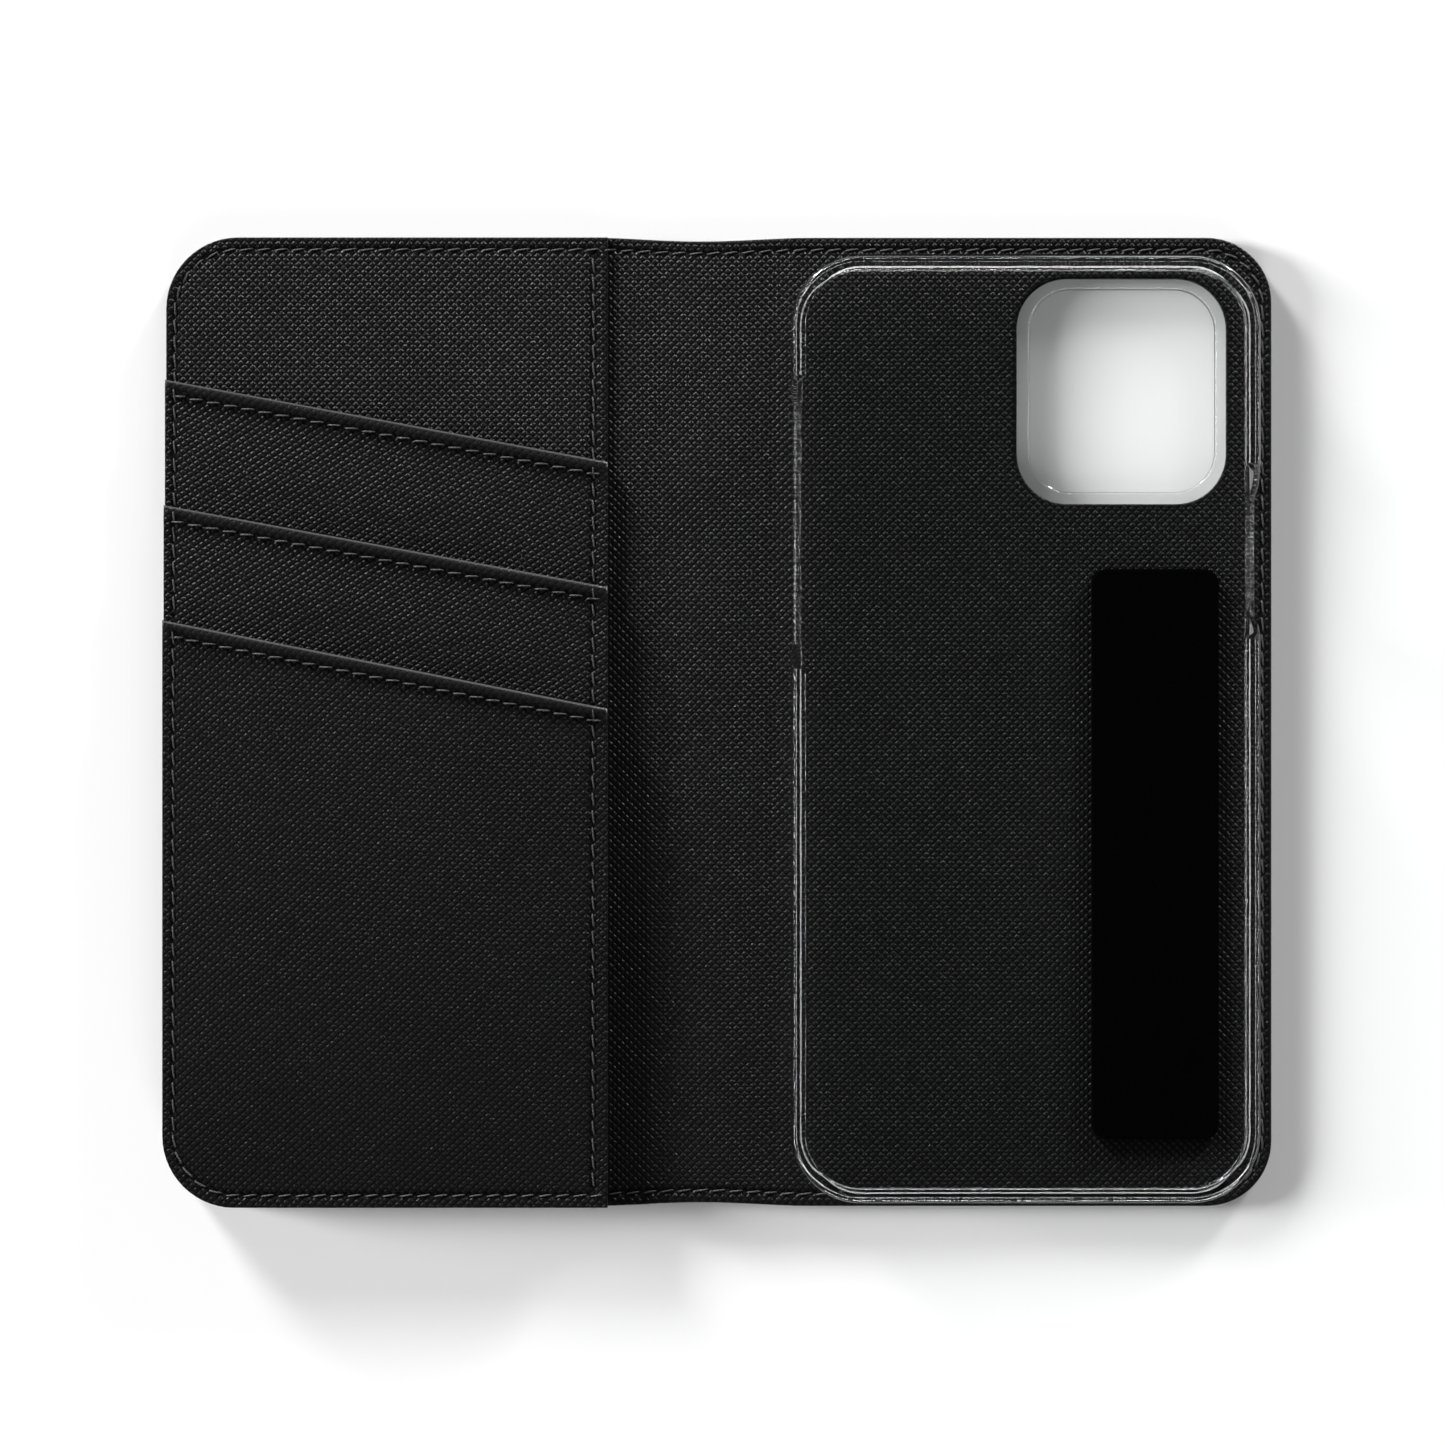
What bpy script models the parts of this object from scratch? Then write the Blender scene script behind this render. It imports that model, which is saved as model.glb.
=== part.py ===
"""Folio phone wallet, lying open with its inner faces up.

The front cover (at -X) carries three stepped card pockets over a cash pocket, the spine is in the
middle, and the back cover (at +X) carries a clear snap-in phone shell on an adhesive pad.
Origin: centre of the footprint, on the table. +X points to the phone side, +Y to the camera end,
+Z up. Sizes below are millimetres, and MM turns them into Blender's metres.
"""
import math

import bmesh
import bpy
from mathutils import Vector

MM = 0.001

# What the case is made for
PHONE_SIZE = (71.5, 146.7, 7.4)
CARD_LENGTH = 85.6
CARD_THICKNESS = 0.76

# Open cover
COVER_WIDTH = 176.0
COVER_HEIGHT = 154.0
SPINE_WIDTH = 18.4
SPINE_WAIST = 0.5
FRONT_CORNER = 11.4
BACK_CORNER = 10.3
CORNER_SEGMENTS = 12

# Layers of the cover
LAYER_GAP = 0.05
SKIN_THICKNESS = 0.7
BOARD_THICKNESS = 0.9
LINING_THICKNESS = 0.5
BOARD_INSET = 0.4

# Pocket stack on the front cover
STACK_WIDTH = 70.5
CASH_GAP = 0.5
BACKING_THICKNESS = 0.5
POCKET_THICKNESS = 0.45
SLOT_GAP = CARD_THICKNESS + 0.04
STOP_ALLOWANCE = 1.8
TAPE_WIDTH = 2.6
TAPE_CLEARANCE = 0.02
TAPE_INSET = 0.6

# Threads
THREAD_RADIUS = 0.18
THREAD_RAMP = (0.35, 1.75)
SEAM_INSET_END = 1.95
SEAM_INSET_SIDE = 1.4
STACK_SEAM_INSET = 2.3
HEM_DEPTH = 2.3

# Phone shell and the pad under it
SHELL_CENTRE = (48.4, -1.2)
SHELL_WALL = 1.15
SHELL_FLOOR = 1.0
SHELL_CORNER = 11.0
SHELL_EDGE_ROUND = 0.8
PHONE_PLAY = 0.1
LIP_OVERHANG = 1.1
LIP_THICKNESS = 0.8
LOW_WALL = 1.2
PAD_THICKNESS = 0.8
PAD_CENTRE = (69.4, -21.0)
PAD_SIZE = (20.2, 90.6)
PAD_CORNER = 2.4

# Camera window
WINDOW_CENTRE = (64.1, 52.5)
COVER_WINDOW = (33.3, 35.8)
COVER_WINDOW_CORNER = 8.0
SHELL_WINDOW = (29.3, 32.0)
SHELL_WINDOW_CORNER = 6.5
WINDOW_RIM = 1.2
RIM_RECESS = 0.5

# Openings in the shell's walls: low stretch, then the ramps' further ends, along Y
LEFT_CUTOUT = (12.3, 50.0, 8.3, 54.5)
RIGHT_CUTOUT = (16.9, 35.1, 13.1, 40.7)
PORT_SIZE = (11.5, 5.6)
SOUND_SLOT_SIZE = (12.9, 4.8)
SOUND_SLOT_OFFSET = 15.4
PORT_CORNER = 1.5


def above(below, gap, thickness):
    """Height range of a layer that lies over another one."""
    return (below[1] + gap, below[1] + gap + thickness)


SKIN_Z = (0.0, SKIN_THICKNESS)
BOARD_Z = above(SKIN_Z, LAYER_GAP, BOARD_THICKNESS)
LINING_Z = above(BOARD_Z, LAYER_GAP, LINING_THICKNESS)
BACKING_Z = above(LINING_Z, CASH_GAP, BACKING_THICKNESS)
REAR_Z = above(BACKING_Z, SLOT_GAP, POCKET_THICKNESS)
MIDDLE_Z = above(REAR_Z, SLOT_GAP, POCKET_THICKNESS)
FRONT_Z = above(MIDDLE_Z, SLOT_GAP, POCKET_THICKNESS)
PAD_Z = above(LINING_Z, LAYER_GAP, PAD_THICKNESS)
FLOOR_Z = above(PAD_Z, LAYER_GAP, SHELL_FLOOR)
CAVITY_Z = (FLOOR_Z[1], FLOOR_Z[1] + PHONE_SIZE[2] + PHONE_PLAY)
SHELL_Z = (FLOOR_Z[0], CAVITY_Z[1] + LIP_THICKNESS)

HALF_WIDTH = COVER_WIDTH / 2
HALF_HEIGHT = COVER_HEIGHT / 2
SPINE_HALF_HEIGHT = HALF_HEIGHT - SPINE_WAIST
CREASE_X = SPINE_WIDTH / 2
CREASE_Z = LINING_Z[1] / 2
# Rigid plates end this far from a crease, so that a right-angle fold brings no edge into another.
CREASE_SETBACK = CREASE_Z + 0.1
THREAD_SETBACK = CREASE_SETBACK + 2 * THREAD_RADIUS + LAYER_GAP
PANEL_START = CREASE_X + CREASE_SETBACK
SPINE_EDGE = CREASE_X - CREASE_SETBACK
STACK_LEFT = -HALF_WIDTH
STACK_RIGHT = STACK_LEFT + STACK_WIDTH
STACK_SEAM_X = STACK_RIGHT - STACK_SEAM_INSET

# Card pockets from the back of the stack to its front: (name, height range, top edge at the left
# end, how far the edge drops towards the spine, bottom edge). A card stands with its top at the
# left end of the edge.
POCKETS = (
    ("rear", REAR_Z, 54.4, 13.1, 54.4 - CARD_LENGTH - STOP_ALLOWANCE),
    ("middle", MIDDLE_Z, 34.4, 13.0, 34.4 - CARD_LENGTH - STOP_ALLOWANCE),
    ("front", FRONT_Z, 16.1, 14.0, -HALF_HEIGHT),
)


# ---------------------------------------------------------------- outlines

def rounded(corners):
    """Outline from (x, y, radius) corners, with an arc at each corner whose radius isn't 0."""
    outline = []
    for index, (x, y, radius) in enumerate(corners):
        corner = Vector((x, y))
        before = (Vector(corners[index - 1][:2]) - corner).normalized()
        after = (Vector(corners[(index + 1) % len(corners)][:2]) - corner).normalized()
        if radius == 0:
            outline.append(tuple(corner))
            continue
        half_angle = before.angle(after) / 2
        centre = corner + (before + after).normalized() * radius / math.sin(half_angle)
        start = corner + before * radius / math.tan(half_angle) - centre
        turn = math.copysign(math.pi - 2 * half_angle, after.cross(before))
        for step in range(CORNER_SEGMENTS + 1):
            angle = turn * step / CORNER_SEGMENTS
            cosine, sine = math.cos(angle), math.sin(angle)
            outline.append((centre.x + start.x * cosine - start.y * sine,
                            centre.y + start.x * sine + start.y * cosine))
    return outline


def rounded_rectangle(centre, size, radius):
    """Outline of a rectangle with four equal round corners."""
    half_x, half_y = size[0] / 2, size[1] / 2
    return rounded([(centre[0] + sx * half_x, centre[1] + sy * half_y, radius)
                    for sx, sy in ((-1, -1), (1, -1), (1, 1), (-1, 1))])


def front_panel(inset, right):
    """Front cover's outline, from its round outer corners to a straight edge at x = right."""
    left, half = inset - HALF_WIDTH, HALF_HEIGHT - inset
    radius = FRONT_CORNER - inset
    return rounded([(left, -half, radius), (right, -half, 0), (right, half, 0), (left, half, radius)])


def back_panel(inset):
    """Back cover's outline, from the spine crease to its round outer corners."""
    left, right, half = PANEL_START, HALF_WIDTH - inset, HALF_HEIGHT - inset
    radius = BACK_CORNER - inset
    return rounded([(left, -half, 0), (right, -half, radius), (right, half, radius), (left, half, 0)])


def strip(x_range, half_height):
    """Outline of an upright rectangle centred on the X axis."""
    return [(x_range[0], -half_height), (x_range[1], -half_height),
            (x_range[1], half_height), (x_range[0], half_height)]


def edge_height(top_left, drop, x):
    """Height up the cover of a pocket's slanted top edge at x."""
    return top_left - drop * (x - STACK_LEFT) / STACK_WIDTH


# ---------------------------------------------------------------- Blender helpers

def clear_scene():
    for scene_object in list(bpy.data.objects):
        bpy.data.objects.remove(scene_object, do_unlink=True)


def new_collection(name):
    collection = bpy.data.collections.new(name)
    bpy.context.scene.collection.children.link(collection)
    return collection


def new_material(name, color, roughness, alpha=1.0):
    """Principled material of one colour."""
    material = bpy.data.materials.new(name)
    material.use_nodes = True
    shader = material.node_tree.nodes["Principled BSDF"]
    shader.inputs["Base Color"].default_value = (*color, 1.0)
    shader.inputs["Roughness"].default_value = roughness
    shader.inputs["Metallic"].default_value = 0.0
    shader.inputs["Alpha"].default_value = alpha
    material.diffuse_color = (*color, alpha)
    return material


def new_pivot(name, location, parent=None):
    """Empty on a crease's axis, which the pieces that swing about it hang from."""
    pivot = bpy.data.objects.new(name, None)
    pivot.location = Vector(location) * MM
    PARTS.objects.link(pivot)
    hang(pivot, parent)
    return pivot


def hang(piece, pivot):
    """Parent a piece to a pivot without moving it."""
    if pivot is None:
        return
    bpy.context.view_layer.update()
    piece.parent = pivot
    piece.matrix_parent_inverse = pivot.matrix_world.inverted()


def flat_solid(name, outlines, thickness, collection):
    """Mesh object of an even thickness about Z = 0. Outlines after the first are holes."""
    curve = bpy.data.curves.new(name, "CURVE")
    curve.dimensions = "2D"
    curve.fill_mode = "BOTH"
    curve.extrude = MM * thickness / 2
    for outline in outlines:
        spline = curve.splines.new("POLY")
        spline.points.add(len(outline) - 1)
        for point, (x, y) in zip(spline.points, outline):
            point.co = (MM * x, MM * y, 0.0, 1.0)
        spline.use_cyclic_u = True
    flat = bpy.data.objects.new(name + "_outline", curve)
    collection.objects.link(flat)
    bpy.context.view_layer.update()
    mesh = bpy.data.meshes.new_from_object(flat.evaluated_get(bpy.context.evaluated_depsgraph_get()))
    weld(mesh)
    solid = bpy.data.objects.new(name, mesh)
    solid.matrix_world = flat.matrix_world
    collection.objects.link(solid)
    bpy.data.objects.remove(flat)
    return solid


def weld(mesh):
    """Join a filled curve's caps to its sides, merge their flat faces and turn every face outwards."""
    work = bmesh.new()
    work.from_mesh(mesh)
    bmesh.ops.remove_doubles(work, verts=work.verts, dist=1e-6)
    bmesh.ops.dissolve_limit(work, angle_limit=math.radians(1), verts=work.verts, edges=work.edges)
    bmesh.ops.recalc_face_normals(work, faces=work.faces)
    work.to_mesh(mesh)
    work.free()


def plate(name, outlines, z_range, material, pivot=None):
    """Flat part between two heights."""
    part = flat_solid(name, outlines, z_range[1] - z_range[0], PARTS)
    part.location.z = MM * (z_range[0] + z_range[1]) / 2
    part.data.materials.append(material)
    hang(part, pivot)
    return part


def cutter(name, outlines, z_range):
    """Hidden solid for a Boolean."""
    tool = flat_solid(name, outlines, z_range[1] - z_range[0], CUTTERS)
    tool.location.z = MM * (z_range[0] + z_range[1]) / 2
    tool.hide_render = True
    tool.display_type = "WIRE"
    return tool


def boolean(part, tool, operation):
    modifier = part.modifiers.new(tool.name, "BOOLEAN")
    modifier.operation = operation
    modifier.object = tool


def thread(name, path, pivot=None):
    """Round thread through (x, y, z) points."""
    curve = bpy.data.curves.new(name, "CURVE")
    curve.dimensions = "3D"
    curve.bevel_depth = MM * THREAD_RADIUS
    curve.bevel_resolution = 2
    curve.use_fill_caps = True
    spline = curve.splines.new("POLY")
    spline.points.add(len(path) - 1)
    for point, position in zip(spline.points, path):
        point.co = (*(MM * value for value in position), 1.0)
    curve.materials.append(THREAD)
    part = bpy.data.objects.new(name, curve)
    PARTS.objects.link(part)
    hang(part, pivot)
    return part


# ---------------------------------------------------------------- cover layers

def build_back_layers():
    """Outer skin, board and lining of the back cover, with the camera window through all three."""
    window = rounded_rectangle(WINDOW_CENTRE, COVER_WINDOW, COVER_WINDOW_CORNER)
    wide_window = rounded_rectangle(WINDOW_CENTRE, [side + 2 * BOARD_INSET for side in COVER_WINDOW],
                                    COVER_WINDOW_CORNER + BOARD_INSET)
    plate("back_outer_skin", [back_panel(0), window], SKIN_Z, SKIN)
    plate("back_board", [back_panel(BOARD_INSET), wide_window], BOARD_Z, BOARD)
    plate("back_lining", [back_panel(0), window], LINING_Z, LINING)


def build_spine_layers(pivot):
    """Outer skin, interlining and lining of the spine."""
    edges = (-SPINE_EDGE, SPINE_EDGE)
    plate("spine_outer_skin", [strip(edges, SPINE_HALF_HEIGHT)], SKIN_Z, SKIN, pivot)
    plate("spine_interlining", [strip(edges, SPINE_HALF_HEIGHT - BOARD_INSET)], BOARD_Z, TAPE, pivot)
    plate("spine_lining", [strip(edges, SPINE_HALF_HEIGHT)], LINING_Z, LINING, pivot)


def build_front_layers(pivot):
    """Outer skin, board and lining of the front cover."""
    plate("front_outer_skin", [front_panel(0, -PANEL_START)], SKIN_Z, SKIN, pivot)
    plate("front_board", [front_panel(BOARD_INSET, -PANEL_START)], BOARD_Z, BOARD, pivot)
    plate("front_lining", [front_panel(0, -PANEL_START)], LINING_Z, LINING, pivot)


def build_creases(pivot):
    """Soft strips of skin and lining that bend along the two creases."""
    for name, x in (("front", -CREASE_X), ("back", CREASE_X)):
        half = CREASE_SETBACK - LAYER_GAP
        bend = [strip((x - half, x + half), SPINE_HALF_HEIGHT)]
        plate(name + "_crease_skin", bend, SKIN_Z, SKIN, pivot)
        plate(name + "_crease_lining", bend, LINING_Z, LINING, pivot)


# ---------------------------------------------------------------- pockets

def build_pockets(pivot):
    """Cash pocket's backing, then the three card pockets in front of it."""
    plate("pocket_backing", [front_panel(0, STACK_RIGHT)], BACKING_Z, LINING, pivot)
    for name, z_range, top_left, drop, bottom in POCKETS:
        corner = FRONT_CORNER if bottom == -HALF_HEIGHT else 0
        sheet = rounded([(STACK_LEFT, bottom, corner), (STACK_RIGHT, bottom, 0),
                         (STACK_RIGHT, edge_height(top_left, drop, STACK_RIGHT), 0),
                         (STACK_LEFT, top_left, 0)])
        plate("card_pocket_" + name, [sheet], z_range, POCKET, pivot)


def pocket_tape(top_left, drop, bottom):
    """U of seam tape round a card slot's sides and bottom, open at the top."""
    left, right = STACK_LEFT + TAPE_INSET, STACK_RIGHT - TAPE_INSET
    low = bottom + TAPE_INSET
    inner_left, inner_right = left + TAPE_WIDTH, right - TAPE_WIDTH
    corner = FRONT_CORNER - TAPE_INSET if bottom == -HALF_HEIGHT else 0
    inner_corner = max(corner - TAPE_WIDTH, 0)
    below_edge = TAPE_INSET
    return rounded([(left, low, corner), (right, low, 0),
                    (right, edge_height(top_left, drop, right) - below_edge, 0),
                    (inner_right, edge_height(top_left, drop, inner_right) - below_edge, 0),
                    (inner_right, low + TAPE_WIDTH, 0),
                    (inner_left, low + TAPE_WIDTH, inner_corner),
                    (inner_left, edge_height(top_left, drop, inner_left) - below_edge, 0),
                    (left, edge_height(top_left, drop, left) - below_edge, 0)])


def build_tapes(pivot):
    """Seam tapes that hold the pocket sheets apart and together along their seams."""
    cash = rounded([(STACK_LEFT + TAPE_INSET, -HALF_HEIGHT + TAPE_INSET, FRONT_CORNER - TAPE_INSET),
                    (STACK_RIGHT, -HALF_HEIGHT + TAPE_INSET, 0),
                    (STACK_RIGHT, -HALF_HEIGHT + TAPE_INSET + TAPE_WIDTH, 0),
                    (STACK_LEFT + TAPE_INSET + TAPE_WIDTH, -HALF_HEIGHT + TAPE_INSET + TAPE_WIDTH,
                     FRONT_CORNER - TAPE_INSET - TAPE_WIDTH),
                    (STACK_LEFT + TAPE_INSET + TAPE_WIDTH, HALF_HEIGHT - TAPE_INSET - TAPE_WIDTH,
                     FRONT_CORNER - TAPE_INSET - TAPE_WIDTH),
                    (STACK_RIGHT, HALF_HEIGHT - TAPE_INSET - TAPE_WIDTH, 0),
                    (STACK_RIGHT, HALF_HEIGHT - TAPE_INSET, 0),
                    (STACK_LEFT + TAPE_INSET, HALF_HEIGHT - TAPE_INSET, FRONT_CORNER - TAPE_INSET)])
    plate("seam_tape_cash", [cash], between(LINING_Z, BACKING_Z), TAPE, pivot)
    under = BACKING_Z
    for index, (name, z_range, top_left, drop, bottom) in enumerate(POCKETS):
        tape = plate("seam_tape_" + name, [pocket_tape(top_left, drop, bottom)],
                     between(under, z_range), TAPE, pivot)
        if index > 0:
            # Past the end of the sheet behind it, the tape is thicker and reaches the backing.
            step = POCKETS[index - 1][4] - TAPE_CLEARANCE
            foot = [pocket_foot(bottom, step)]
            boolean(tape, cutter(name + "_tape_foot", foot, between(BACKING_Z, z_range)), "UNION")
        under = z_range


def pocket_foot(bottom, top):
    """Lower part of a pocket tape, cut off level at y = top."""
    left, right = STACK_LEFT + TAPE_INSET, STACK_RIGHT - TAPE_INSET
    low = bottom + TAPE_INSET
    corner = FRONT_CORNER - TAPE_INSET if bottom == -HALF_HEIGHT else 0
    return rounded([(left, low, corner), (right, low, 0), (right, top, 0),
                    (right - TAPE_WIDTH, top, 0), (right - TAPE_WIDTH, low + TAPE_WIDTH, 0),
                    (left + TAPE_WIDTH, low + TAPE_WIDTH, max(corner - TAPE_WIDTH, 0)),
                    (left + TAPE_WIDTH, top, 0), (left, top, 0)])


def between(below, over):
    """Height range that fills the space between two layers, less a little play."""
    return (below[1] + TAPE_CLEARANCE, over[0] - TAPE_CLEARANCE)


# ---------------------------------------------------------------- threads

def stack_top(x, y):
    """Height of the front cover's top surface, ramped up just ahead of each higher edge."""
    on_stack = ramp(STACK_RIGHT, x)
    height = LINING_Z[1] + on_stack * (BACKING_Z[1] - LINING_Z[1])
    for _, z_range, top_left, drop, _ in POCKETS:
        on_pocket = on_stack * ramp(edge_height(top_left, drop, min(x, STACK_RIGHT)), y)
        height += on_pocket * (z_range[1] - height)
    return height


def ramp(edge, position):
    """1 up to just past an edge, falling to 0 a little further on."""
    start, end = THREAD_RAMP
    return min(max((edge + end - position) / (end - start), 0.0), 1.0)


def lay_on(surface, route):
    """Lay a plan-view route on a surface, with points only where the thread turns."""
    lift = THREAD_RADIUS + LAYER_GAP
    points = []
    for start, end in zip(route, route[1:]):
        length = math.dist(start, end)
        steps = max(1, round(length / 0.35))
        for step in range(steps):
            share = step / steps
            x = start[0] + (end[0] - start[0]) * share
            y = start[1] + (end[1] - start[1]) * share
            points.append(Vector((x, y, surface(x, y) + lift)))
    points.append(Vector((*route[-1], surface(*route[-1]) + lift)))
    kept = [points[0]]
    for index in range(1, len(points) - 1):
        before, after = points[index] - kept[-1], points[index + 1] - points[index]
        if before.angle(after) > math.radians(2):
            kept.append(points[index])
    return kept + [points[-1]]


def seam_route(side, corner):
    """Plan-view route of the edge seam on one cover: out along the top, down, and back."""
    near = side * (CREASE_X + THREAD_SETBACK)
    far = side * (HALF_WIDTH - SEAM_INSET_SIDE)
    end = HALF_HEIGHT - SEAM_INSET_END
    radius = corner - SEAM_INSET_SIDE
    return rounded([(near, end, 0), (far, end, radius), (far, -end, radius), (near, -end, 0)])


def build_threads(back_pivot, front_pivot):
    """Edge seams of the three sections, the pockets' side seam and the three hem seams."""
    thread("back_edge_thread", lay_on(lambda x, y: LINING_Z[1], seam_route(1, BACK_CORNER)))
    for name, side in (("spine_top_thread", 1), ("spine_bottom_thread", -1)):
        y = side * (HALF_HEIGHT - SEAM_INSET_END)
        z = LINING_Z[1] + THREAD_RADIUS + LAYER_GAP
        reach = CREASE_X - THREAD_SETBACK
        thread(name, [(-reach, y, z), (reach, y, z)], back_pivot)
    thread("front_edge_thread", lay_on(stack_top, seam_route(-1, FRONT_CORNER)), front_pivot)
    # The side seam stops just short of the edge seam at each end, where the two threads cross.
    end = HALF_HEIGHT - SEAM_INSET_END - 2 * THREAD_RADIUS - LAYER_GAP
    side_route = [(STACK_SEAM_X, end), (STACK_SEAM_X, -end)]
    thread("pocket_side_thread", lay_on(stack_top, side_route), front_pivot)
    for name, z_range, top_left, drop, _ in POCKETS:
        left = STACK_LEFT + SEAM_INSET_SIDE + 4 * THREAD_RADIUS
        right = STACK_SEAM_X - 4 * THREAD_RADIUS
        z = z_range[1] + THREAD_RADIUS + LAYER_GAP
        hem = [(x, edge_height(top_left, drop, x) - HEM_DEPTH, z) for x in (left, right)]
        thread("hem_thread_" + name, hem, front_pivot)


# ---------------------------------------------------------------- phone shell

def shell_outline(inset):
    """Shell's rounded outline, drawn in from its outer face."""
    size = [side + 2 * (SHELL_WALL + PHONE_PLAY - inset) for side in PHONE_SIZE[:2]]
    return rounded_rectangle(SHELL_CENTRE, size, SHELL_CORNER - inset)


def wall_cutter(name, x, low_start, low_end, ramp_start, ramp_end):
    """Cutter for a button cut-out in a side wall: a low stretch with a ramp at each end."""
    rise = SHELL_Z[1] - CAVITY_Z[0] - LOW_WALL
    reach = 1.5
    profile = [(ramp_start - reach * (low_start - ramp_start) / rise, rise + reach),
               (low_start, 0.0), (low_end, 0.0),
               (ramp_end + reach * (ramp_end - low_end) / rise, rise + reach)]
    tool = cutter(name, [profile], (-2 * SHELL_WALL, 2 * SHELL_WALL))
    tool.rotation_euler = (math.pi / 2, 0.0, math.pi / 2)
    tool.location = (MM * x, 0.0, MM * (CAVITY_Z[0] + LOW_WALL))
    return tool


def port_cutter(name, offset, size):
    """Cutter for a rounded opening through the bottom wall."""
    tool = cutter(name, [rounded_rectangle((0, 0), size, PORT_CORNER)], (-3 * SHELL_WALL, 3 * SHELL_WALL))
    tool.rotation_euler = (math.pi / 2, 0.0, 0.0)
    wall_y = SHELL_CENTRE[1] - PHONE_SIZE[1] / 2 - SHELL_WALL
    tool.location = (MM * (SHELL_CENTRE[0] + offset), MM * wall_y,
                     MM * (CAVITY_Z[0] + CAVITY_Z[1]) / 2)
    return tool


def build_shell():
    """Clear tray that the phone snaps into, with its camera window, button cut-outs and ports."""
    shell = plate("phone_shell", [shell_outline(0)], SHELL_Z, CLEAR)
    edge = shell.modifiers.new("rounded edge", "BEVEL")
    edge.width = MM * SHELL_EDGE_ROUND
    edge.segments = 3
    edge.limit_method = "ANGLE"
    edge.angle_limit = math.radians(60)
    boolean(shell, cutter("cavity", [shell_outline(SHELL_WALL)], CAVITY_Z), "DIFFERENCE")
    mouth = [shell_outline(SHELL_WALL + LIP_OVERHANG)]
    boolean(shell, cutter("mouth", mouth, (CAVITY_Z[1] - 1, SHELL_Z[1] + 1)), "DIFFERENCE")
    rim_size = [side + 2 * WINDOW_RIM for side in SHELL_WINDOW]
    rim = rounded_rectangle(WINDOW_CENTRE, rim_size, SHELL_WINDOW_CORNER + WINDOW_RIM)
    boolean(shell, cutter("window_rim", [rim], (RIM_RECESS, FLOOR_Z[0] + SHELL_FLOOR / 2)), "UNION")
    window = rounded_rectangle(WINDOW_CENTRE, SHELL_WINDOW, SHELL_WINDOW_CORNER)
    boolean(shell, cutter("window", [window], (-1, FLOOR_Z[1] + 1)), "DIFFERENCE")
    half_width = PHONE_SIZE[0] / 2 + SHELL_WALL
    for name, side, stretch in (("left_buttons", -1, LEFT_CUTOUT), ("right_button", 1, RIGHT_CUTOUT)):
        tool = wall_cutter(name, SHELL_CENTRE[0] + side * half_width, *stretch)
        boolean(shell, tool, "DIFFERENCE")
    for name, offset, size in (("port", 0, PORT_SIZE),
                               ("left_sound_slot", -SOUND_SLOT_OFFSET, SOUND_SLOT_SIZE),
                               ("right_sound_slot", SOUND_SLOT_OFFSET, SOUND_SLOT_SIZE)):
        boolean(shell, port_cutter(name, offset, size), "DIFFERENCE")


def build_pad():
    """Adhesive pad that joins the shell to the back cover's lining."""
    plate("shell_adhesive_pad", [rounded_rectangle(PAD_CENTRE, PAD_SIZE, PAD_CORNER)], PAD_Z, PAD)


# ---------------------------------------------------------------- assembly

clear_scene()
PARTS = new_collection("phone_wallet_case")
CUTTERS = new_collection("cutters")
SKIN = new_material("black_saffiano", (0.018, 0.018, 0.020), 0.48)
LINING = new_material("black_saffiano_lining", (0.020, 0.020, 0.022), 0.50)
POCKET = new_material("black_saffiano_pocket", (0.024, 0.024, 0.026), 0.46)
BOARD = new_material("grey_board", (0.30, 0.28, 0.25), 0.90)
TAPE = new_material("black_tape", (0.030, 0.030, 0.030), 0.85)
THREAD = new_material("black_thread", (0.028, 0.028, 0.030), 0.55)
PAD = new_material("black_foam", (0.004, 0.004, 0.004), 0.95)
CLEAR = new_material("clear_plastic", (0.93, 0.95, 0.96), 0.06, alpha=0.25)

back_crease = new_pivot("back_crease_axis", (CREASE_X, 0, CREASE_Z))
front_crease = new_pivot("front_crease_axis", (-CREASE_X, 0, CREASE_Z), back_crease)

build_back_layers()
build_pad()
build_shell()
build_spine_layers(back_crease)
build_creases(back_crease)
build_front_layers(front_crease)
build_pockets(front_crease)
build_tapes(front_crease)
build_threads(back_crease, front_crease)
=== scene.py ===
"""Folio phone wallet lying open, inner faces up: leather, pockets, stitching and the clear shell.

Sizes are millimetres in the CAD frame, and MM turns them into Blender's metres.
"""
import math

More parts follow.
